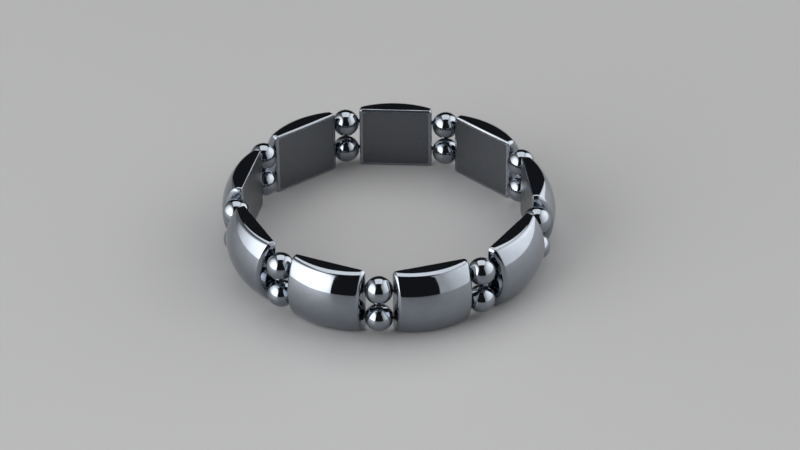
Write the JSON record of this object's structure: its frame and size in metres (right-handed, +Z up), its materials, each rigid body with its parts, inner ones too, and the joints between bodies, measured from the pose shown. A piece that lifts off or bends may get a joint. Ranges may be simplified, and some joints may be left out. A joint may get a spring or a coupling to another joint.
{
  "type": "beaded stretch bracelet",
  "caption": "Stretch bracelet of domed polished stone tiles with pairs of round beads between them, strung on two elastic cords, standing on its edge.",
  "frame": {"origin": "middle of the ring on the surface that the bracelet stands on", "axes": "+Z up along the wrist opening, -Y towards the bead pair at the front, +X to the right"},
  "size_m": [0.0714, 0.0713, 0.0145],
  "materials": {
    "stone_tile": "mirror-polished dark metallic grey stone with a satin wrist face",
    "stone_bead": "mirror-polished dark metallic grey stone",
    "elastic_cord": "dark elastic cord"
  },
  "bodies": {
    "root": {"tile_1": "stone_tile", "tile_2": "stone_tile", "tile_3": "stone_tile", "tile_4": "stone_tile", "tile_5": "stone_tile", "tile_6": "stone_tile", "tile_7": "stone_tile", "tile_8": "stone_tile", "tile_9": "stone_tile", "bead_upper_1": "stone_bead", "bead_upper_2": "stone_bead", "bead_upper_3": "stone_bead", "bead_upper_4": "stone_bead", "bead_upper_5": "stone_bead", "bead_upper_6": "stone_bead", "bead_upper_7": "stone_bead", "bead_upper_8": "stone_bead", "bead_upper_9": "stone_bead", "bead_lower_1": "stone_bead", "bead_lower_2": "stone_bead", "bead_lower_3": "stone_bead", "bead_lower_4": "stone_bead", "bead_lower_5": "stone_bead", "bead_lower_6": "stone_bead", "bead_lower_7": "stone_bead", "bead_lower_8": "stone_bead", "bead_lower_9": "stone_bead", "cord_upper": "elastic_cord", "cord_lower": "elastic_cord"}
  },
  "joints": []
}
